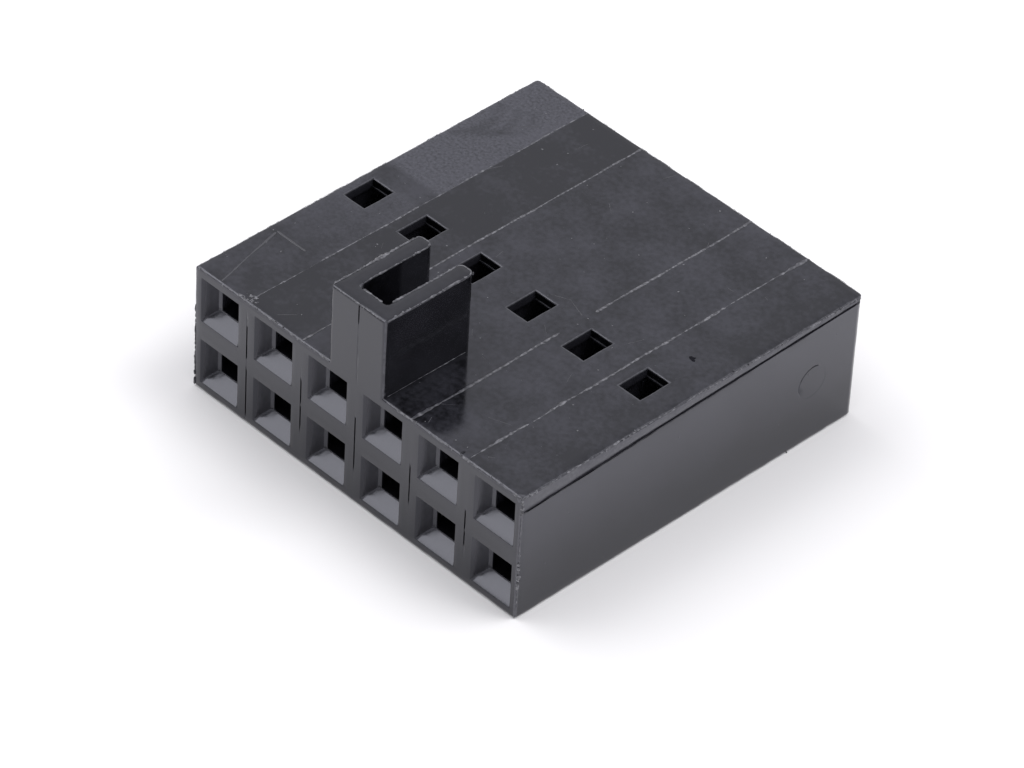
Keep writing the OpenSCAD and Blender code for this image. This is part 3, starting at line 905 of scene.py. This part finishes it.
# Studio: a sheet of white paper between two softboxes, in a pale room that is dimmer towards the floor.
# Paper is matt and nearly white. Only the left softbox shows in the gloss of the plastic.
floor_half = 600.0
paper = plain_material("white_paper", "#f3f2f3", 0.9, 1.3)
floor_points = floor_half * np.array([[-1, -1, 0], [1, -1, 0], [1, 1, 0], [-1, 1, 0]])
floor = mesh_object("floor", floor_points, np.array([[0, 1, 2, 3]]))
floor.data.materials.append(paper)
floor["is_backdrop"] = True

scene = bpy.context.scene
room = bpy.data.worlds.new("pale_room")
room.use_nodes = True
tree = room.node_tree
toward = add_node(tree, "ShaderNodeTexCoord").outputs["Generated"]
height = add_node(tree, "ShaderNodeSeparateXYZ", Vector=toward).outputs["Z"]
glow = add_node(tree, "ShaderNodeMapRange", Value=height, i1=0.0, i2=0.55, i3=0.45, i4=0.75).outputs["Result"]
tree.nodes["Background"].inputs["Color"].default_value = linear("#f6f6fa")
tree.links.new(glow, tree.nodes["Background"].inputs["Strength"])
scene.world = room
scene.view_settings.view_transform = "Standard"

light_distance = 480
# Name, direction that it stands in, side of its square, power in watts, and whether it shows in the gloss
for name, light_from, size, energy, in_gloss in (
    ("left_softbox", (-0.55, -0.22, 0.8), 360, 0.9, True),
    ("right_softbox", (0.37, 0.3, 0.88), 240, 1.0, False),
):
    panel = bpy.data.lights.new(name, "AREA")
    panel.shape = "SQUARE"
    panel.size = size * MM
    panel.energy = energy
    softbox = bpy.data.objects.new(name, panel)
    scene.collection.objects.link(softbox)
    light_from = Vector(light_from).normalized()
    softbox.location = light_from * light_distance * MM
    softbox.rotation_mode = "QUATERNION"
    softbox.rotation_quaternion = light_from.to_track_quat("Z", "Y")
    softbox.visible_glossy = in_gloss

# Camera: the photograph's angle, at a long focal length and with its slight roll.
# The focal length is in pixels of the picture's width, as it was fitted.
view_azimuth, view_elevation, view_roll = (math.radians(a) for a in (44.05, 40.0, 3.286))
view_from = Vector((math.sin(view_azimuth) * math.cos(view_elevation),
                    -math.cos(view_azimuth) * math.cos(view_elevation), math.sin(view_elevation)))
aim = Vector((1.274, -1.896, 2.5))
stand_off = 191.65
image_w, focal_px = 1024, 6000
lens = bpy.data.cameras.new("camera")
lens.lens = focal_px / image_w * lens.sensor_width
lens.clip_start = 1 * MM
camera = bpy.data.objects.new("camera", lens)
scene.collection.objects.link(camera)
camera.location = (aim + view_from * stand_off) * MM
camera.rotation_mode = "QUATERNION"
camera.rotation_quaternion = (-view_from).to_track_quat("-Z", "Y") @ Quaternion((0, 0, 1), view_roll)
scene.camera = camera

low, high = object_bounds()
